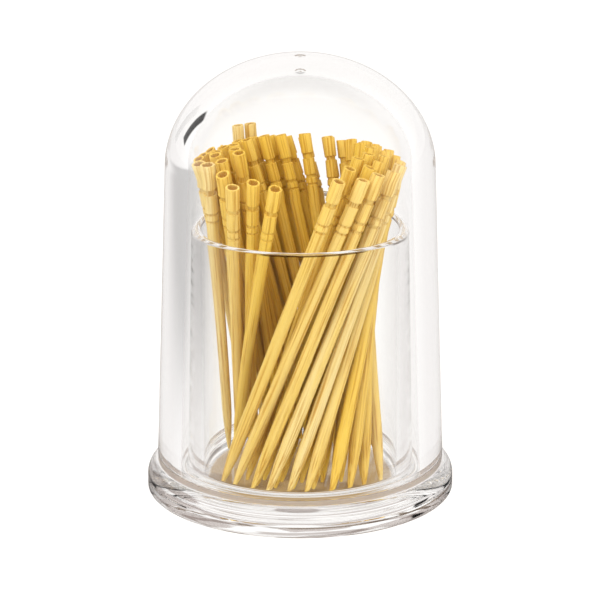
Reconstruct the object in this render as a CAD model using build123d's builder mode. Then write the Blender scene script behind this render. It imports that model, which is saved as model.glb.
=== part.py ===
"""A clear toothpick holder: a domed cover stands over an open cup of turned wooden toothpicks."""
import os
from cmath import rect
from math import cos, radians, sin, sqrt, tan

from build123d import *

# Toothpicks, in millimetres as all lengths here: a point, a plain shaft and a grooved head
pick_length = 60.0
pick_diameter = 2.3
pick_sides = 6
point_length = 9.0
point_diameter = 0.6
barrel_length = 4.0
groove_width = 0.8
groove_diameter = 1.75

# Cup, moulded in one piece with its flange
cup_bore = 34.7
cup_depth = 44.9
cup_wall = 1.7
cup_floor = 4.0
cup_draft = 1.25
rim_chamfer = 0.5
cup_foot_chamfer = 0.7

# Flange, with the seat that carries the cover and the low ring that locates it
flange_margin = 1.8
flange_side = 2.5
flange_chamfer = 0.5
seat_height = 5.2
ring_height = 0.7
ring_ledge = 1.0
cover_clearance = 0.35

# Cover: a drafted wall under an elliptical crown, which is turned in straight bands
cover_wall = 4.05
cover_draft = 1.93
crown_height = 19.6
crown_bands = 5
head_room = 10.5

# Bundle: rows of picks on rings about the axis, twisted so that they lean past each other
ring_step = 2.7
head_ring_overhang = 0.7
foot_ring_inset = 2.6
row_spacing = 1.72
steepest_lean = 25.0
pick_gap = 0.05
pick_seat_gap = 0.1
scatter_radius = 1.6
scatter_azimuth = 8.0
settling_passes = 400
point_up_pick = 6

# Each row: azimuth of its first and last head from the front, ring counted from outside, twist
pick_rows = (
    (-184, -152, 0, 84),
    (-152, -126, 0, 14),
    (-126, -74, 0, 84),
    (-74, -52, 0, 76),
    (-52, -8, 0, 106),
    (20, 174, 0, 86),
    (-172, -58, 1, 86),
    (32, 165, 1, 88),
    (-190, -58, 2, 86),
    (45, 122, 2, 90),
)

# Sizes that follow from those above
pick_radius = pick_diameter / 2
bore_radius = cup_bore / 2
rim_z = cup_floor + cup_depth
ring_z = seat_height + ring_height
cup_foot_radius = bore_radius + cup_wall + (rim_z - ring_z) * tan(radians(cup_draft))
ring_radius = cup_foot_radius + ring_ledge
cover_inner_foot = ring_radius + cover_clearance
cover_outer_foot = cover_inner_foot + cover_wall
flange_radius = cover_outer_foot + flange_margin
cover_inner_z = cup_floor + pick_length + head_room
cover_z = cover_inner_z + cover_wall
spring_z = cover_z - crown_height


def wall_radius(foot_radius, z):
    """Radius of a drafted cover wall at a height."""
    return foot_radius - (z - seat_height) * tan(radians(cover_draft))


def cover_outline(foot_radius, apex_z):
    """Half section of one skin of the cover, from its foot up the wall and over the crown."""
    points = [(foot_radius, seat_height)]
    for band in range(crown_bands + 1):
        angle = radians(90 * (1 - band / crown_bands))
        points.append((wall_radius(foot_radius, spring_z) * sin(angle), spring_z + (apex_z - spring_z) * cos(angle)))
    return points


def room_under_cover(z):
    """Inner radius of the cover at a height."""
    rise = max(0, z - spring_z) / (cover_inner_z - spring_z)
    return wall_radius(cover_inner_foot, min(z, spring_z)) * sqrt(max(0, 1 - rise**2))


def scatter(number, stream):
    """An even spread of values from -0.5 to 0.5, a different one for each stream."""
    return (number * (stream + 1) * (0.618 + 0.1 * stream)) % 1 - 0.5


def on_ring(radius, azimuth):
    """Plan position x + iy on a ring about the axis, with azimuth 0 at the front."""
    return rect(radius, radians(azimuth - 90))


def plan_rows():
    """Foot and head of every pick in plan, before they settle. The head is one pick length above the floor."""
    picks = []
    for first, last, ring, twist in pick_rows:
        head_ring = bore_radius + head_ring_overhang - ring * ring_step
        foot_ring = bore_radius - foot_ring_inset - ring * ring_step
        count = round(radians(last - first) * head_ring / (row_spacing * pick_diameter))
        for index in range(count):
            number = len(picks) + 1
            azimuth = first + (last - first) * (index + 0.5) / count
            foot_azimuth = azimuth - twist + scatter_azimuth * scatter(number, 1)
            head_azimuth = azimuth + scatter_azimuth * scatter(number, 2)
            foot = on_ring(foot_ring + scatter_radius * scatter(number, 3), foot_azimuth)
            head = on_ring(head_ring + scatter_radius * scatter(number, 4), head_azimuth)
            picks.append([foot, head])
    return picks


def part_pair(first, second):
    """Move two picks apart where they come closest, if they are closer there than their thickness."""
    pitch = (pick_diameter + pick_gap) / cos(radians(steepest_lean))
    apart = first[0] - second[0]
    spread = first[1] - second[1] - apart
    level = -(apart * spread.conjugate()).real / max(abs(spread) ** 2, pick_gap**2)
    level = min(1, max(0, level))
    nearest = apart + spread * level
    if abs(nearest) >= pitch:
        return
    push = nearest / max(abs(nearest), pick_gap) * (pitch - abs(nearest)) / 2
    for end, share in enumerate((1 - level, level)):
        first[end] += push * share
        second[end] -= push * share


def keep_inside(pick, level, reach):
    """Pull a pick back to a reach from the axis at one level, from 0 at its foot to 1 at its head."""
    point = pick[0] + (pick[1] - pick[0]) * level
    excess = max(0, abs(point) - reach)
    pull = point / max(abs(point), pick_gap) * excess
    for end, share in enumerate((1 - level, level)):
        pick[end] -= pull * share / ((1 - level) ** 2 + level**2)


def settle(picks):
    """Part the picks from each other and keep them in the cup and under the cover."""
    thickness = pick_radius / cos(radians(steepest_lean)) + pick_gap
    for _ in range(settling_passes):
        for index, pick in enumerate(picks):
            for other in picks[:index]:
                part_pair(pick, other)
        for pick in picks:
            head_level = pick_length / sqrt(pick_length**2 + abs(pick[1] - pick[0]) ** 2)
            head_z = cup_floor + pick_length * head_level
            keep_inside(pick, 0, bore_radius - thickness)
            keep_inside(pick, cup_depth / pick_length, bore_radius - thickness)
            keep_inside(pick, head_level, room_under_cover(head_z) - thickness - cover_clearance)
    return picks


def pick_plane(foot, head, point_up):
    """Plane at the pointed end of a pick, with its normal along the pick."""
    run = Vector(head.real - foot.real, head.imag - foot.imag, pick_length).normalized()
    end_radius = pick_radius if point_up else point_diameter / 2
    lift = end_radius * sqrt(1 - run.Z**2)
    low_end = Vector(foot.real, foot.imag, cup_floor + pick_seat_gap + lift)
    return Plane(low_end + run * pick_length, z_dir=-run) if point_up else Plane(low_end, z_dir=run)


os.makedirs("parts", exist_ok=True)

# Domed cover, open at its foot
with BuildPart() as dome_lid:
    with BuildSketch(Plane.XZ):
        with BuildLine():
            outer_skin = cover_outline(cover_outer_foot, cover_z)
            inner_skin = cover_outline(cover_inner_foot, cover_inner_z)
            Polyline(*outer_skin, *reversed(inner_skin), close=True)
        make_face()
    revolve(axis=Axis.Z)
dome_lid.part.label = "dome_lid"
export_step(dome_lid.part, "parts/dome_lid.step")

# Cup and flange
with BuildPart() as cup_base:
    with BuildSketch(Plane.XZ):
        with BuildLine():
            Polyline(
                (0, 0),
                (flange_radius, 0),
                (flange_radius, flange_side),
                (cover_outer_foot, seat_height),
                (ring_radius, seat_height),
                (ring_radius, ring_z),
                (cup_foot_radius, ring_z),
                (bore_radius + cup_wall, rim_z),
                (0, rim_z),
                close=True,
            )
        make_face()
    revolve(axis=Axis.Z)
    with BuildSketch(Plane.XY.offset(cup_floor)):
        Circle(bore_radius)
    extrude(amount=cup_depth, mode=Mode.SUBTRACT)
    underside = cup_base.faces().sort_by(Axis.Z)[0]
    chamfer(underside.edges(), flange_chamfer)
    rim = cup_base.faces().filter_by(Axis.Z).sort_by(Axis.Z)[-1]
    chamfer(rim.edges(), rim_chamfer)
    ledge = cup_base.faces().filter_by(Axis.Z).sort_by_distance((cup_foot_radius, 0, ring_z))[0]
    chamfer(ledge.edges().sort_by(SortBy.RADIUS)[0], cup_foot_chamfer)
cup_base.part.label = "cup_base"
export_step(cup_base.part, "parts/cup_base.step")

# One pick along +Z, its point at the origin: what its silhouette has in common from every side
with BuildPart() as turned_pick:
    flat_radius = pick_radius * cos(radians(180 / pick_sides))
    groove_radius = groove_diameter / 2 * cos(radians(180 / pick_sides))
    groove_z = pick_length - barrel_length - groove_width / 2
    for side in range(pick_sides // 2):
        with BuildSketch(Plane.XZ.rotated((0, 0, 360 / pick_sides * side))):
            with BuildLine():
                Polyline(
                    (0, pick_length),
                    (flat_radius, pick_length),
                    (flat_radius, groove_z + groove_width / 2),
                    (groove_radius, groove_z),
                    (flat_radius, groove_z - groove_width / 2),
                    (flat_radius, point_length),
                    (point_diameter / 2, 0),
                    (0, 0),
                    close=True,
                )
            make_face()
            mirror(about=Plane.YZ)
        extrude(amount=pick_diameter, both=True, mode=Mode.INTERSECT if side else Mode.ADD)

# The bundle, each pick a piece of its own
for number, (foot, head) in enumerate(settle(plan_rows()), 1):
    with BuildPart(pick_plane(foot, head, number == point_up_pick)) as toothpick:
        add(turned_pick.part)
    toothpick.part.label = f"toothpick_{number:02d}"
    export_step(toothpick.part, f"parts/toothpick_{number:02d}.step")
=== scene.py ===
"""Looks of the clear toothpick holder: a domed cover over a cup of turned wooden toothpicks."""
import math
import random

import bmesh
import bpy
from mathutils import Matrix, Vector


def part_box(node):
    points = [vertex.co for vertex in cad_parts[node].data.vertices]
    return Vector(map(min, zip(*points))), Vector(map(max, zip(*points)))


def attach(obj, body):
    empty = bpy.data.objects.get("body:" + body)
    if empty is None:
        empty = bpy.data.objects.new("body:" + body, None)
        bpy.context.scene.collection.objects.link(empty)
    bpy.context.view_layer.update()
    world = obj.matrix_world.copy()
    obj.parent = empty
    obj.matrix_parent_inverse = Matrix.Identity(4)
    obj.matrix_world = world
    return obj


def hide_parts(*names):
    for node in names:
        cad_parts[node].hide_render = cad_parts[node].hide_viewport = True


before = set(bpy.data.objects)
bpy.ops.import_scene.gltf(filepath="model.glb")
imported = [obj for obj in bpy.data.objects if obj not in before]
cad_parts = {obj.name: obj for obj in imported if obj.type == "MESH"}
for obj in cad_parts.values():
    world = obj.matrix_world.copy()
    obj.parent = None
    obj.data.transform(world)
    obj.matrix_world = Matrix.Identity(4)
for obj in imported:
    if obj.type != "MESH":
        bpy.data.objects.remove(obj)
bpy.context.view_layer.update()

MM = 0.001
scene = bpy.context.scene

# Camera, fitted to the outlines of the cover and the flange and to the rim's ellipse
IMAGE_PX = 590
FOCAL_PX = 3408.9
SENSOR_WIDTH = 36.0
AXIS_PX = 300.2
AIM_Z = 35.35 * MM
CAMERA_DISTANCE = 600 * MM
CAMERA_ELEVATION = 17.53
CAMERA_NEAR = 0.01

# Square soft lamps: name, place and power
LAMP_SIZE = 0.9
LAMPS = (
    ("key", (-0.45, -0.55, 0.75), 6.6),
    ("fill", (0.6, -0.4, 0.4), 3.3),
    ("top", (0.0, 0.25, 0.9), 3.3),
)

# Fineness of the meshes, and tolerances
LATHE_STEPS = 224
CROWN_STEPS = 40
ROUND_STEPS = 7
PICK_STEPS = 22
POINT_STEPS = 8
SHARP_ANGLE = 38
STRAIGHT = 1.0 * MM
SUPPORT = 0.06 * MM
SAME_LEVEL = 0.01 * MM
END_REACH = 0.25 * MM
ON_AXIS = 1e-9

# Cover, beyond what the frame gives
CROWN_HEIGHT = 19.6 * MM
COVER_DRAFT = 1.93
FOOT_ROUND = 0.35 * MM
FOOT_GAP = 0.03 * MM

# Gate mark in the crown: share of its radius and depth, from its edge to its middle
GATE_RADIUS = 1.0 * MM
GATE_CLEARING = 1.6
GATE_DEPTH = 0.12 * MM
GATE_MARK = (
    (1.15, 0.02 * MM),
    (1.0, 0.03 * MM),
    (0.86, GATE_DEPTH),
    (0.4, GATE_DEPTH),
    (0.25, GATE_DEPTH * 0.55),
    (0, GATE_DEPTH * 0.5),
)

# Base, beyond what the frame gives
FLANGE_SIDE = 2.5 * MM
FLANGE_ROUND = 0.6 * MM
PARTING_LINE = 0.12 * MM
PARTING_STEP = 0.01 * MM
RING_Z = 5.9 * MM
RING_ROUND = 0.2 * MM
CUP_FLOOR = 4.0 * MM
CUP_WALL = 1.7 * MM
CUP_DRAFT = 1.25
CUP_FOOT_ROUND = 0.8 * MM
RIM_ROUND = 0.22 * MM
RIM_CROWN = 0.2 * MM
CREST_ROUND = CUP_WALL / 3
FLOOR_ROUND = 1.5 * MM

# Toothpicks, measured from the head's end down
BARREL = 4.0 * MM
WAIST_WIDTH = 1.0 * MM
SECOND_BARREL = 3.2 * MM
FINE_GROOVE = 0.6 * MM
BEAD = 1.0 * MM
LIP = 0.2 * MM
GROOVE_SIDE = LIP * 0.6
SLANTED_LENGTH = BARREL * 0.5
DISH_DEPTH = 0.55 * MM
POINT_LENGTH = 10.5 * MM
BLUNT_LENGTH = 0.12 * MM

# Shares of a toothpick's radius
POINT_SHARE = 0.26
TIP_SHARE = POINT_SHARE * 0.7
SHAFT_SHARE = 0.93
WAIST_SHARE = 0.71
GROOVE_SHARE = 0.8
GROOVE_FOOT_SHARE = 0.96
GROOVE_TOP_SHARE = 0.97
BARREL_FOOT_SHARE = 0.95
BARREL_SHARE = 0.99
END_SHARE = 0.95

# Grooves down the head: the stretch above, the groove's width and its share of the radius
GROOVES = (
    (BARREL, WAIST_WIDTH, WAIST_SHARE),
    (SECOND_BARREL, FINE_GROOVE, GROOVE_SHARE),
    (BEAD, FINE_GROOVE, GROOVE_SHARE),
)

# Dish in the head's end: share of its depth, share of the radius and how much painted shade it gets as a
# recess
DISH = ((0, 0.72, 0.1), (0.4, 0.66, 2.6), (1, 0.36, 3.7), (1, 0, 3.7))
# Painted shade in the grooves, strongest in their bottoms
GROOVE_SHADE = 1
GROOVE_EDGE_SHADE = 0.2
SHAFT_RINGS = (0.2, 0.4, 0.6, 0.8)
POINT_SWELL = 0.9

# Uneven turning: the least and greatest of each. Outer picks are paler at random, fading to gold towards
# the axis as painted shade inside the bundle
STRETCH_SPREAD = (0.9, 1.12)
WIDTH_SPREAD = (0.8, 1.2)
DEPTH_SPREAD = (0.96, 1.05)
SLANT_SPREAD = (0, 0.2)
WAVE_COUNTS = (2, 3, 5)
WAVE_SPREAD = (0.006, 0.02)
BOW_SPREAD_MM = (0, 0.12)
PALEST = 0.65
BUNDLE_SHADE_FALL = 4
BUNDLE_SHADE_RING = 12.0 * MM

# Clear plastic, greyed towards its edges as painted shade. A ramp gives its two ends, and where needed its
# values there
CLEAR_IOR = 1.49
CLEAR_FACE = (0.99, 0.99, 0.985, 1)
SIDE_PAINTED_SHADE = (0.81, 0.795, 0.79, 1)
EDGE_PAINTED_SHADE = (0.73, 0.71, 0.7, 1)
SIDE_SHADE_RAMP = (0.38, 0.62)
EDGE_SHADE_RAMP = (0.74, 0.9)
FACE_ON_MIRROR = (0.05, 0.05, 0.05, 1)
LET_THROUGH = (0.965, 0.965, 0.96, 1)
HAZE_RAMP = (0.45, 0.8, 0.0, 0.03)
FLOW_SCALE = (70, 70, 900)
FLOW_BUMP = 0.05
# Painted dark reflections along the flow streaks
PAINTED_STREAK_REFLECTION = (0.34, 0.29, 0.27, 1)
PAINTED_STREAK_RAMP = (0.52, 0.58)
DASH_SCALE = (110, 110, 300)
# Painted shade: broken dark lines
PAINTED_SHADE_LINE = (0.1, 0.07, 0.05, 1)
DASH_RAMP = (0.42, 0.52)

# Bands of height with flow streaks, tinted with painted dark reflections, and broken lines of painted
# shade. The rim's line is measured down from its crest
NOWHERE = (1.0, -1.0)
STREAKED_FLANGE = (0.05 * MM, 5.0 * MM)
FLANGE_SHADE_LINES = ((1.8 * MM, 2.1 * MM), (0.1 * MM, 0.3 * MM))
RIM_SHADE_LINE = (0.5 * MM, 0.2 * MM)

# Unpolished lands, coloured with painted light: painted shade on the cover's foot, a painted highlight on
# the crest of the cup's rim
# Painted shade: grey-brown mottle on the cover's foot
FOOT_SHADE_PALE = (0.5, 0.45, 0.44, 1)
FOOT_SHADE_DEEP = (0.41, 0.365, 0.355, 1)
FOOT_CLEAR = 0.25
# Painted highlight: near-white mottle on the rim's crest
CREST_HIGHLIGHT = (0.97, 0.97, 0.97, 1)
CREST_HIGHLIGHT_MOTTLE = (0.92, 0.92, 0.92, 1)
CREST_CLEAR = 0.4
HIGHLIGHT_DEPTH = 0.09 * MM
LAND_ROUGHNESS = (0.3, 0.7, 0.4, 0.6)

# Wood
PALE_WOOD = (0.83, 0.74, 0.43, 1)
GOLD_WOOD = (0.8, 0.55, 0.08, 1)
BROAD_GRAIN = (0.8, 0.58, 0.14, 1)
BROAD_SCALE = (700, 700, 40)
BROAD_RAMP = (0.35, 0.7, 0.0, 0.7)
BROAD_RELIEF = 0.8
LONG_GRAIN = (0.5, 0.24, 0.015, 1)
LONG_SCALE = (3200, 3200, 70)
LONG_RAMP = (0.47, 0.68, 0.0, 0.75)
RECESS_SHADE_COLOUR = (0.3, 0.12, 0.01, 1)
RECESS_SHADE_STRENGTH = 0.24
GRAIN_SHIFT = 3.0
WOOD_ROUGHNESS = (0.3, 0.8, 0.5, 0.72)

# Room, by direction
WHITE = (1, 1, 1, 1)
ROOM = (1, 0.985, 0.97, 1)
AMBIENT = (1, 0.87, 0.7, 1)
AMBIENT_STRENGTH = 0.75
CEILING_DIM = (0.5, 0.8, 1.0, 0.4)
FRONT_DIM = (-0.6, 0.1, 0.9, 1.1)
FLAG_X = ((-0.67, -0.62), (-0.57, -0.52))
FLAG_Y = (0.0, 0.2)
FLAG_Z = ((-0.2, -0.1), (0.26, 0.34))
FLAG_SHADE = (0.0, 0.8, 1.0, 0.0)

# Floor, by place. Seen through the plastic it has painted shade to the left and a painted amber shadow
# under the cup; mirrored, it is darker near the holder as painted shade
FLOOR_SIZE = 3.0
FLOOR_DROP = 0.05 * MM
FLOOR_MATTE = (0.82, 0.82, 0.82, 1)
FLOOR_FAINT = (0.3, 0.3, 0.3, 1)
FLOOR_GLOW = 0.76
LEFT_DIM = (-0.13, -0.03, 0.6, 1.0)
LEFT_FAR_END = (0.15, 0.25)
LEFT_NEAR_END = (-0.06, 0.09, 1.0, 0.0)
# Painted amber shadow under the cup, seen through the plastic
UNDER_CUP_PAINTED_SHADOW = (1, 0.68, 0.34, 1)
AROUND_CUP = (1, 0.985, 0.975, 1)
CUP_EDGE = (0.016, 0.021)
CUP_SHADE = (0.5, 1.06)
MIRRORED_FLOOR = (1, 0.97, 0.95, 1)
MIRROR_DIM = (0.028, 0.045, 0.12, 0.75)


def node_points(node):
    """Corners of a CAD node at rest."""
    return [vertex.co.copy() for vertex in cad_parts[node].data.vertices]


def radii_at(node, z):
    """Least and greatest radius of a turned CAD node's corners at a height."""
    radii = [math.hypot(p.x, p.y) for p in node_points(node) if abs(p.z - z) < SAME_LEVEL]
    return min(radii), max(radii)


def rounded(corners):
    """Points of an outline of (r, z, radius) corners, each rounded by its radius. The ends stay sharp."""
    places = [Vector(corner[:2]) for corner in corners]
    points = []
    for index, here in enumerate(places):
        radius = corners[index][2]
        if not radius:
            points.append(here)
            continue
        back = (places[index - 1] - here).normalized()
        ahead = (places[index + 1] - here).normalized()
        half = back.angle(ahead) / 2
        centre = here + (back + ahead).normalized() * radius / math.sin(half)
        start = here + back * radius / math.tan(half) - centre
        end = here + ahead * radius / math.tan(half) - centre
        for step in range(ROUND_STEPS + 1):
            points.append(centre + start.lerp(end, step / ROUND_STEPS).normalized() * radius)
    return points


def mesh_object(name, points, faces):
    """A closed, smooth piece with its normals outward and its sharp edges kept."""
    mesh = bpy.data.meshes.new(name)
    mesh.from_pydata(points, [], faces)
    shell = bmesh.new()
    shell.from_mesh(mesh)
    bmesh.ops.recalc_face_normals(shell, faces=shell.faces)
    shell.to_mesh(mesh)
    shell.free()
    mesh.shade_smooth()
    mesh.set_sharp_from_angle(angle=math.radians(SHARP_ANGLE))
    piece = bpy.data.objects.new(name, mesh)
    scene.collection.objects.link(piece)
    return piece


def bridge(lower, upper, steps):
    """Faces between two rings of corners. A ring of one corner is a pole."""
    faces = []
    for step in range(steps):
        after = (step + 1) % steps
        corners = [
            lower[step % len(lower)],
            lower[after % len(lower)],
            upper[after % len(upper)],
            upper[step % len(upper)],
        ]
        face = list(dict.fromkeys(corners))
        if len(face) > 2:
            faces.append(face)
    return faces


def supported(outline):
    """The outline with a point close to each end of its straight runs, so that they shade as straight."""
    points = []
    for here, after in zip(outline, outline[1:] + outline[:1]):
        points.append(here)
        run = after - here
        if run.length > STRAIGHT and max(here.x, after.x) > 0:
            step = run.normalized() * SUPPORT
            points += [here + step, after - step]
    return points


def lathe(name, outline):
    """A piece turned about Z from a closed outline of (r, z) points. A point on the axis is a pole."""
    points = []
    rings = []
    for r, z in supported(outline):
        steps = 1 if r < ON_AXIS else LATHE_STEPS
        rings.append(range(len(points), len(points) + steps))
        for step in range(steps):
            angle = math.tau * step / LATHE_STEPS
            points.append((r * math.cos(angle), r * math.sin(angle), z))
    faces = []
    for lower, upper in zip(rings, rings[1:] + rings[:1]):
        faces += bridge(lower, upper, LATHE_STEPS)
    return mesh_object(name, points, faces)


def crown_skin(foot_radius, foot_z, apex_z):
    """One skin of the cover's crown, from the top of its drafted wall to its apex."""
    slope = math.tan(math.radians(COVER_DRAFT))
    spring_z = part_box("dome_lid")[1].z - CROWN_HEIGHT
    rise = apex_z - spring_z
    spring_radius = foot_radius - (spring_z - foot_z) * slope
    skin = []
    for step in range(CROWN_STEPS):
        angle = math.pi / 2 * step / CROWN_STEPS
        skin.append(Vector((spring_radius * math.cos(angle), spring_z + rise * math.sin(angle))))
    return skin + [Vector((0, apex_z))]


def marked_by_gate(skin):
    """The skin with the round, shallow mark of the gate in the middle of its crown."""
    apex_z = skin[-1].y
    kept = [point for point in skin if point.x > GATE_RADIUS * GATE_CLEARING]
    return kept + [Vector((GATE_RADIUS * share, apex_z - depth)) for share, depth in GATE_MARK]


def build_cover():
    """The domed cover: a rounded foot, two drafted skins and the gate mark on top."""
    low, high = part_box("dome_lid")
    inner_radius, outer_radius = radii_at("dome_lid", low.z)
    wall = outer_radius - inner_radius
    slope = math.tan(math.radians(COVER_DRAFT))
    spring_z = high.z - CROWN_HEIGHT
    outer = marked_by_gate(crown_skin(outer_radius, low.z, high.z))
    inner = crown_skin(inner_radius, low.z, high.z - wall)
    foot = rounded([
        (inner_radius - (spring_z - low.z) * slope, spring_z, 0),
        (inner_radius, low.z + FOOT_GAP, FOOT_ROUND),
        (outer_radius, low.z + FOOT_GAP, FOOT_ROUND),
        (outer_radius - (spring_z - low.z) * slope, spring_z, 0),
    ])
    return lathe("domed_cover", foot[1:-1] + outer + inner[::-1])


def build_base():
    """The flanged cup: underside, parting line, shoulder, seat, locating ring, cup wall, rim and floor."""
    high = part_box("cup_base")[1]
    seat_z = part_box("dome_lid")[0].z
    flange = min(high.x, high.y)
    seat_radius = radii_at("dome_lid", seat_z)[1]
    ring = radii_at("cup_base", RING_Z)[1]
    slope = math.tan(math.radians(CUP_DRAFT))
    bore = radii_at("cup_base", CUP_FLOOR)[1]
    rim_radius = bore + CUP_WALL
    cup_foot = rim_radius + (high.z - RING_Z) * slope
    rise = seat_z - FLANGE_SIDE
    run = flange - seat_radius
    shoulder = (rise**2 + run**2) / (2 * run)
    turn = math.asin(rise / shoulder)
    arc = []
    for step in range(1, ROUND_STEPS):
        angle = turn * step / ROUND_STEPS
        r = flange - shoulder * (1 - math.cos(angle))
        arc.append(Vector((r, FLANGE_SIDE + shoulder * math.sin(angle))))
    under = rounded([(0, 0, 0), (flange, 0, FLANGE_ROUND), (flange, FLANGE_SIDE - PARTING_LINE, 0)])
    parting = [
        Vector((flange - PARTING_LINE, FLANGE_SIDE)),
        Vector((flange - PARTING_STEP, FLANGE_SIDE + PARTING_LINE)),
    ]
    above = rounded([
        (seat_radius, seat_z, 0),
        (ring, seat_z, RING_ROUND),
        (ring, RING_Z, RING_ROUND),
        (cup_foot, RING_Z, CUP_FOOT_ROUND),
        (rim_radius, high.z - RIM_CROWN, RIM_ROUND),
        (bore + CUP_WALL / 2, high.z, CREST_ROUND),
        (bore, high.z - RIM_CROWN, RIM_ROUND),
        (bore, CUP_FLOOR, FLOOR_ROUND),
        (0, CUP_FLOOR, 0),
    ])
    return lathe("flanged_cup", under + parting + arc + above)


def pick_ends(node):
    """Middle of a CAD pick's point, middle of its head's end, and the radius of that end."""
    points = node_points(node)
    farthest = max(points, key=lambda p: (p - points[0]).length)
    other = max(points, key=lambda p: (p - farthest).length)
    along = (other - farthest).normalized()
    ends = []
    for end in (farthest, other):
        ring = [p for p in points if abs((p - end).dot(along)) < END_REACH]
        middle = sum(ring, Vector()) / len(ring)
        ends.append((max((p - middle).length for p in ring), middle))
    ends.sort(key=lambda end: end[0])
    return ends[0][1], ends[1][1], ends[1][0]


def pick_outline(length, chance):
    """Stations of a pick from point to head: height, share of the radius and how much painted shade the
    recesses get.
    """
    stations = [(0, 0.0, 0), (0, TIP_SHARE, 0), (BLUNT_LENGTH, POINT_SHARE, 0)]
    for step in range(1, POINT_STEPS + 1):
        share = step / POINT_STEPS
        swell = POINT_SHARE + (SHAFT_SHARE - POINT_SHARE) * math.sin(math.pi / 2 * share) ** POINT_SWELL
        stations.append((POINT_LENGTH * share, swell, 0))
    grooves = []
    level = length
    for stretch, width, depth in GROOVES:
        level -= stretch * chance.uniform(*STRETCH_SPREAD)
        own_width = width * chance.uniform(*WIDTH_SPREAD)
        own_depth = depth * chance.uniform(*DEPTH_SPREAD)
        grooves.append((level, own_width, own_depth))
        level -= own_width
    for share in SHAFT_RINGS:
        stations.append((POINT_LENGTH + (level - POINT_LENGTH) * share, SHAFT_SHARE, 0))
    below = SHAFT_SHARE
    for top, width, depth in reversed(grooves):
        stations += [
            (top - width - LIP, below, 0),
            (top - width, GROOVE_FOOT_SHARE, GROOVE_EDGE_SHADE),
            (top - width + GROOVE_SIDE, depth, GROOVE_SHADE),
            (top - GROOVE_SIDE, depth, GROOVE_SHADE),
            (top, GROOVE_TOP_SHARE, GROOVE_EDGE_SHADE),
            (top + LIP, BARREL_SHARE, 0),
        ]
        below = BARREL_FOOT_SHARE
    stations += [(length - LIP, BARREL_SHARE, 0), (length, END_SHARE, 0)]
    return stations + [(length - DISH_DEPTH * down, share, recess_shade) for down, share, recess_shade in DISH]


def build_pick(node, wood):
    """One turned pick along its CAD node, with uneven turning, a slanted end and its own paleness of wood,
    gold towards the axis as painted shade.
    """
    tip, head, radius = pick_ends(node)
    length = (head - tip).length
    chance = random.Random(node)
    stations = pick_outline(length, chance)
    slant = chance.uniform(*SLANT_SPREAD)
    slant_turn = chance.uniform(0, math.tau)
    waves = [(count, chance.uniform(*WAVE_SPREAD), chance.uniform(0, math.tau)) for count in WAVE_COUNTS]
    bow = chance.uniform(*BOW_SPREAD_MM) * MM
    bow_turn = chance.uniform(0, math.tau)
    points = []
    recess_shade = []
    rings = []
    for z, share, depth in stations:
        steps = 1 if share == 0 else PICK_STEPS
        rings.append(range(len(points), len(points) + steps))
        lean = bow * math.sin(math.pi * z / length)
        near_end = max(0, 1 - (length - z) / SLANTED_LENGTH)
        for step in range(steps):
            angle = math.tau * step / PICK_STEPS
            wave = sum(size * (math.sin(count * angle + turn) - 1) for count, size, turn in waves)
            r = radius * share * (1 + wave)
            x = r * math.cos(angle) + lean * math.cos(bow_turn)
            y = r * math.sin(angle) + lean * math.sin(bow_turn)
            points.append((x, y, z + slant * near_end * (r * math.cos(angle - slant_turn) - radius)))
            recess_shade.append(depth)
    faces = []
    for lower, upper in zip(rings, rings[1:]):
        faces += bridge(lower, upper, PICK_STEPS)
    piece = mesh_object("turned_" + node, points, faces)
    # Painted shade: picks near the axis lose their random paleness and stay gold
    bundle_light = min(1, ((head + tip) / 2).xy.length / BUNDLE_SHADE_RING) ** BUNDLE_SHADE_FALL
    pale = PALEST * chance.random() * bundle_light
    for name, values in (("recess_shade", recess_shade), ("tone_and_bundle_shade", [1 - pale] * len(points))):
        piece.data.attributes.new(name, "FLOAT", "POINT").data.foreach_set("value", values)
    turn = Vector((0, 0, 1)).rotation_difference(head - tip).to_matrix().to_4x4()
    piece.matrix_world = Matrix.Translation(tip) @ turn
    piece.data.materials.append(wood)
    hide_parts(node)
    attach(piece, "base")


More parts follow.
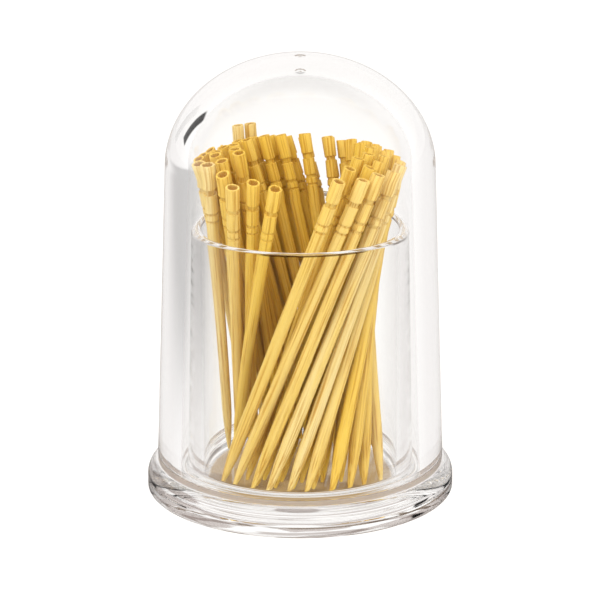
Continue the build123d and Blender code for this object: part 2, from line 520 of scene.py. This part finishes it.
class Nodes:
    """A short hand for building one node tree."""

    def __init__(self, owner):
        owner.use_nodes = True
        self.tree = owner.node_tree
        self.tree.nodes.clear()

    def add(self, kind, inputs=None, **settings):
        """A node with its settings, and with a value or a link for each of its inputs that is given."""
        node = self.tree.nodes.new(kind)
        for name, value in settings.items():
            setattr(node, name, value)
        for name, value in (inputs or {}).items():
            if isinstance(value, bpy.types.NodeSocket):
                self.tree.links.new(value, node.inputs[name])
            else:
                node.inputs[name].default_value = value
        return node

    def math(self, operation, first, second=0.0):
        return self.add("ShaderNodeMath", {0: first, 1: second}, operation=operation).outputs[0]

    def ramp(self, value, low, high, to_low=0.0, to_high=1.0):
        """A smooth step from one value to another between two ends."""
        inputs = {"Value": value, "From Min": low, "From Max": high, "To Min": to_low, "To Max": to_high}
        return self.add("ShaderNodeMapRange", inputs, interpolation_type="SMOOTHSTEP").outputs[0]

    def between(self, value, rise, fall):
        """1 between two soft edges, and 0 outside them."""
        return self.math("MULTIPLY", self.ramp(value, *rise), self.ramp(value, *fall, 1.0, 0.0))

    def band(self, value, low, high):
        """1 between two sharp edges, and 0 outside them."""
        above = self.math("GREATER_THAN", value, low)
        return self.math("MULTIPLY", above, self.math("LESS_THAN", value, high))

    def mix(self, factor, first, second):
        """A mix of two colours."""
        return self.add("ShaderNodeMix", {0: factor, 6: first, 7: second}, data_type="RGBA").outputs[2]

    def noise(self, place, scale, detail):
        inputs = {"Vector": place, "Scale": scale, "Detail": detail}
        return self.add("ShaderNodeTexNoise", inputs).outputs[0]

    def stretched_noise(self, place, scales, detail):
        """Noise with a scale of its own along each axis."""
        stretched = self.add("ShaderNodeMapping", {"Vector": place, "Scale": scales}).outputs[0]
        return self.noise(stretched, 1.0, detail)

    def mix_shaders(self, factor, first, second):
        return self.add("ShaderNodeMixShader", {0: factor, 1: first.outputs[0], 2: second.outputs[0]})


def lamps_pass(nodes, shader):
    """The shader with lamps and diffuse light let through, so that they reach what stands inside."""
    path = nodes.add("ShaderNodeLightPath").outputs
    lit_through = nodes.math("MAXIMUM", path["Is Shadow Ray"], path["Is Diffuse Ray"])
    through = nodes.add("ShaderNodeBsdfTransparent", {"Color": LET_THROUGH})
    mixed = nodes.mix_shaders(lit_through, shader, through)
    nodes.add("ShaderNodeOutputMaterial", {"Surface": mixed.outputs[0]})


def frosted_land_painted_light(name, light, dark, clear):
    """An unpolished land of a moulding, in part clear and mottled between two colours, which are painted
    light: a highlight on the rim's crest, shade on the cover's foot.
    """
    material = bpy.data.materials.new(name)
    nodes = Nodes(material)
    place = nodes.add("ShaderNodeTexCoord").outputs["Object"]
    grain = nodes.noise(place, 2500.0, 3.0)
    bump = nodes.add("ShaderNodeBump", {"Height": grain, "Strength": 0.3, "Distance": 0.0001})
    shader = nodes.add("ShaderNodeBsdfPrincipled", {
        "Base Color": nodes.mix(grain, light, dark),
        "Transmission Weight": clear,
        "Roughness": nodes.ramp(grain, *LAND_ROUGHNESS),
        "Normal": bump.outputs[0],
    })
    lamps_pass(nodes, shader)
    return material


def clear_plastic(name, streaked, shade_lines):
    """Clear plastic with faint waves and haze, greyed towards its edges as painted shade. Flow streaks,
    tinted with painted dark reflections, and broken lines of painted shade lie in bands of height.
    """
    material = bpy.data.materials.new(name)
    nodes = Nodes(material)
    place = nodes.add("ShaderNodeTexCoord").outputs["Object"]
    waves = nodes.noise(place, 55.0, 1.0)
    haze = nodes.noise(place, 420.0, 4.0)
    streaks = nodes.stretched_noise(place, FLOW_SCALE, 1.5)
    dashes = nodes.stretched_noise(place, DASH_SCALE, 2.0)
    height = nodes.add("ShaderNodeSeparateXYZ", {0: place}).outputs["Z"]
    in_streaks = nodes.band(height, *streaked)
    rough = nodes.add("ShaderNodeBump", {
        "Height": streaks,
        "Strength": nodes.math("MULTIPLY", in_streaks, FLOW_BUMP),
        "Distance": 0.0003,
    })
    bump = nodes.add("ShaderNodeBump", {
        "Height": waves,
        "Strength": 0.02,
        "Distance": 0.0004,
        "Normal": rough.outputs[0],
    })
    # Painted shade: the tint greys where the surface turns away from view
    facing = nodes.add("ShaderNodeLayerWeight", {"Blend": 0.5}).outputs["Facing"]
    side_shade = nodes.mix(nodes.ramp(facing, *SIDE_SHADE_RAMP), CLEAR_FACE, SIDE_PAINTED_SHADE)
    edge_shade = nodes.mix(nodes.ramp(facing, *EDGE_SHADE_RAMP), side_shade, EDGE_PAINTED_SHADE)
    # Painted reflection: dark tint along the flange's flow streaks
    painted_streaks = nodes.math("MULTIPLY", nodes.ramp(streaks, *PAINTED_STREAK_RAMP), in_streaks)
    tint = nodes.mix(painted_streaks, edge_shade, PAINTED_STREAK_REFLECTION)
    # Painted shade: broken dark lines at the rim's rounds, on the flange and along its foot
    for low, high in shade_lines:
        broken = nodes.math("MULTIPLY", nodes.band(height, low, high), nodes.ramp(dashes, *DASH_RAMP))
        tint = nodes.mix(broken, tint, PAINTED_SHADE_LINE)
    shader = nodes.add("ShaderNodeBsdfPrincipled", {
        "Base Color": tint,
        "Transmission Weight": 1.0,
        "IOR": CLEAR_IOR,
        "Specular Tint": FACE_ON_MIRROR,
        "Roughness": nodes.ramp(haze, *HAZE_RAMP),
        "Normal": bump.outputs[0],
    })
    lamps_pass(nodes, shader)
    return material


def turned_wood():
    """Pale straw to golden wood with long grain. Painted shade darkens the grooves and the hollow end, and
    gold near the axis is painted shade of the bundle.
    """
    material = bpy.data.materials.new("turned_wood")
    nodes = Nodes(material)
    place = nodes.add("ShaderNodeTexCoord").outputs["Object"]
    tone_and_bundle_shade = nodes.add("ShaderNodeAttribute", attribute_name="tone_and_bundle_shade").outputs["Fac"]
    recess_shade = nodes.add("ShaderNodeAttribute", attribute_name="recess_shade").outputs["Fac"]
    sideways = nodes.math("MULTIPLY", tone_and_bundle_shade, GRAIN_SHIFT)
    shift = nodes.add("ShaderNodeCombineXYZ", {"X": sideways, "Y": tone_and_bundle_shade, "Z": tone_and_bundle_shade}).outputs[0]
    moved = nodes.add("ShaderNodeVectorMath", {0: place, 1: shift}, operation="ADD").outputs[0]
    streaks = nodes.stretched_noise(moved, LONG_SCALE, 4.0)
    broad = nodes.stretched_noise(moved, BROAD_SCALE, 2.0)
    # Gold towards the axis is painted shade inside the bundle; paleness elsewhere is random
    body = nodes.mix(nodes.ramp(tone_and_bundle_shade, 0.0, 1.0), PALE_WOOD, GOLD_WOOD)
    shaded = nodes.mix(nodes.ramp(broad, *BROAD_RAMP), body, BROAD_GRAIN)
    grained = nodes.mix(nodes.ramp(streaks, *LONG_RAMP), shaded, LONG_GRAIN)
    # Painted shade: darker in the grooves and the dished end
    recess_shaded = nodes.mix(nodes.math("MULTIPLY", recess_shade, RECESS_SHADE_STRENGTH), grained, RECESS_SHADE_COLOUR)
    height = nodes.math("ADD", streaks, nodes.math("MULTIPLY", broad, BROAD_RELIEF))
    bump = nodes.add("ShaderNodeBump", {"Height": height, "Strength": 0.5, "Distance": 0.00012})
    shader = nodes.add("ShaderNodeBsdfPrincipled", {
        "Base Color": recess_shaded,
        "Roughness": nodes.ramp(streaks, *WOOD_ROUGHNESS),
        "Specular IOR Level": 0.25,
        "Normal": bump.outputs[0],
    })
    nodes.add("ShaderNodeOutputMaterial", {"Surface": shader.outputs[0]})
    return material


def build_world():
    """White to the camera. Plastic sees a pale room with a dim ceiling and a dark flag to the back left.

    Only paths that were mirrored on their way see the flag.
    """
    world = bpy.data.worlds.new("studio")
    scene.world = world
    nodes = Nodes(world)
    direction = nodes.add("ShaderNodeTexCoord").outputs["Generated"]
    parts = nodes.add("ShaderNodeSeparateXYZ", {0: direction}).outputs
    path = nodes.add("ShaderNodeLightPath").outputs
    flag_face = nodes.math(
        "MULTIPLY", nodes.between(parts["X"], *FLAG_X), nodes.between(parts["Z"], *FLAG_Z)
    )
    flag = nodes.math("MULTIPLY", flag_face, nodes.ramp(parts["Y"], *FLAG_Y))
    straight = nodes.math("LESS_THAN", path["Glossy Depth"], 0.5)
    unflagged = nodes.math("MAXIMUM", nodes.ramp(flag, *FLAG_SHADE), straight)
    shade = nodes.math(
        "MULTIPLY", nodes.ramp(parts["Z"], *CEILING_DIM), nodes.ramp(parts["Y"], *FRONT_DIM)
    )
    level = nodes.math("MULTIPLY", shade, unflagged)
    room = nodes.add("ShaderNodeBackground", {"Color": ROOM, "Strength": level})
    ambient = nodes.add("ShaderNodeBackground", {"Color": AMBIENT, "Strength": AMBIENT_STRENGTH})
    white = nodes.add("ShaderNodeBackground", {"Color": WHITE, "Strength": 1.0})
    seen = nodes.math("MAXIMUM", path["Is Glossy Ray"], path["Is Transmission Ray"])
    lit = nodes.mix_shaders(seen, ambient, room)
    final = nodes.mix_shaders(path["Is Camera Ray"], lit, white)
    nodes.add("ShaderNodeOutputWorld", {"Surface": final.outputs[0]})


def floor_material():
    """White with a soft shadow to the camera. Through the plastic it is pale, with painted shade to the
    left and a painted amber shadow under the cup; in its mirror images it is dim, darker near the holder
    as painted shade.
    """
    material = bpy.data.materials.new("pale_floor")
    nodes = Nodes(material)
    path = nodes.add("ShaderNodeLightPath").outputs
    place = nodes.add("ShaderNodeTexCoord").outputs["Object"]
    parts = nodes.add("ShaderNodeSeparateXYZ", {0: place}).outputs
    reach = nodes.add("ShaderNodeVectorMath", {0: place}, operation="LENGTH").outputs["Value"]
    matte = nodes.add("ShaderNodeBsdfDiffuse", {"Color": FLOOR_MATTE})
    faint = nodes.add("ShaderNodeBsdfDiffuse", {"Color": FLOOR_FAINT})
    glow = nodes.add("ShaderNodeEmission", {"Color": WHITE, "Strength": FLOOR_GLOW})
    shown = nodes.add("ShaderNodeAddShader", {0: faint.outputs[0], 1: glow.outputs[0]})
    undimmed = nodes.math(
        "MAXIMUM", nodes.ramp(parts["Y"], *LEFT_FAR_END), nodes.ramp(parts["Y"], *LEFT_NEAR_END)
    )
    left = nodes.math("MAXIMUM", nodes.ramp(parts["X"], *LEFT_DIM), undimmed)
    # Painted shade to the left and a painted amber shadow under the cup, seen through the plastic
    through = nodes.add("ShaderNodeEmission", {
        "Color": nodes.mix(nodes.ramp(reach, *CUP_EDGE), UNDER_CUP_PAINTED_SHADOW, AROUND_CUP),
        "Strength": nodes.math("MULTIPLY", left, nodes.ramp(reach, *CUP_EDGE, *CUP_SHADE)),
    })
    # Painted shade: dimmer near the holder in mirror images
    dim = nodes.add("ShaderNodeEmission", {
        "Color": MIRRORED_FLOOR,
        "Strength": nodes.ramp(reach, *MIRROR_DIM),
    })
    pale = nodes.mix_shaders(path["Is Camera Ray"], through, shown)
    seen = nodes.math("MAXIMUM", path["Is Camera Ray"], path["Is Transmission Ray"])
    unmirrored = nodes.mix_shaders(seen, matte, pale)
    mirrored = nodes.math("MULTIPLY", path["Is Glossy Ray"], path["Is Reflection Ray"])
    final = nodes.mix_shaders(mirrored, unmirrored, dim)
    nodes.add("ShaderNodeOutputMaterial", {"Surface": final.outputs[0]})
    return material


def build_floor():
    """A wide square floor just under the holder."""
    signs = ((-1, -1), (1, -1), (1, 1), (-1, 1))
    corners = [(x * FLOOR_SIZE, y * FLOOR_SIZE, -FLOOR_DROP) for x, y in signs]
    mesh = bpy.data.meshes.new("floor")
    mesh.from_pydata(corners, [], [(0, 1, 2, 3)])
    mesh.materials.append(floor_material())
    floor = bpy.data.objects.new("floor", mesh)
    scene.collection.objects.link(floor)


def add_lamp(name, place, power):
    """A lamp that faces the middle of the holder. Plastic doesn't show it."""
    light = bpy.data.lights.new(name, "AREA")
    light.shape = "SQUARE"
    light.size = LAMP_SIZE
    light.energy = power
    lamp = bpy.data.objects.new(name, light)
    lamp.location = place
    lamp.rotation_euler = (Vector((0, 0, AIM_Z)) - Vector(place)).to_track_quat("-Z", "Y").to_euler()
    lamp.visible_glossy = False
    lamp.visible_transmission = False
    scene.collection.objects.link(lamp)


def build_camera():
    """The camera in front of the holder, looking down at its axis."""
    camera = bpy.data.cameras.new("camera")
    camera.sensor_fit = "HORIZONTAL"
    camera.sensor_width = SENSOR_WIDTH
    camera.lens = SENSOR_WIDTH * FOCAL_PX / IMAGE_PX
    camera.shift_x = (IMAGE_PX / 2 - AXIS_PX) / IMAGE_PX
    camera.clip_start = CAMERA_NEAR
    view = bpy.data.objects.new("camera", camera)
    lift = math.radians(CAMERA_ELEVATION)
    view.location = (0, -CAMERA_DISTANCE * math.cos(lift), AIM_Z + CAMERA_DISTANCE * math.sin(lift))
    view.rotation_euler = (math.pi / 2 - lift, 0, 0)
    scene.collection.objects.link(view)
    scene.camera = view


build_camera()
build_world()
build_floor()
for name, place, power in LAMPS:
    add_lamp(name, place, power)

# Light passes many walls of plastic on its way through the cover and the cup
scene.view_settings.view_transform = "Standard"
scene.cycles.max_bounces = 48
scene.cycles.transmission_bounces = 40
scene.cycles.transparent_max_bounces = 24
scene.cycles.glossy_bounces = 40

# The cover, with its unpolished foot in painted shade
cover = build_cover()
cover.data.materials.append(clear_plastic("clear_cover", NOWHERE, ()))
cover.data.materials.append(frosted_land_painted_light("frosted_foot_painted_shade", FOOT_SHADE_PALE, FOOT_SHADE_DEEP, FOOT_CLEAR))
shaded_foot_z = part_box("dome_lid")[0].z + FOOT_GAP + SAME_LEVEL
for face in cover.data.polygons:
    face.material_index = int(face.center.z < shaded_foot_z)
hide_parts("dome_lid")
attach(cover, "lid")

# The base, with the unpolished crest of its rim in a painted highlight
base = build_base()
rim_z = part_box("cup_base")[1].z
# Painted shade lines just below the rim's crest and on the flange
rim_shade_line = tuple(rim_z - depth for depth in RIM_SHADE_LINE)
base.data.materials.append(clear_plastic("clear_base", STREAKED_FLANGE, (rim_shade_line, *FLANGE_SHADE_LINES)))
# Painted highlight on the rim's crest
base.data.materials.append(frosted_land_painted_light("frosted_rim_painted_highlight", CREST_HIGHLIGHT, CREST_HIGHLIGHT_MOTTLE, CREST_CLEAR))
for face in base.data.polygons:
    face.material_index = int(face.center.z > rim_z - HIGHLIGHT_DEPTH)
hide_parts("cup_base")
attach(base, "base")

# The toothpicks
wood = turned_wood()
for node in sorted(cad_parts):
    if node.startswith("toothpick_"):
        build_pick(node, wood)
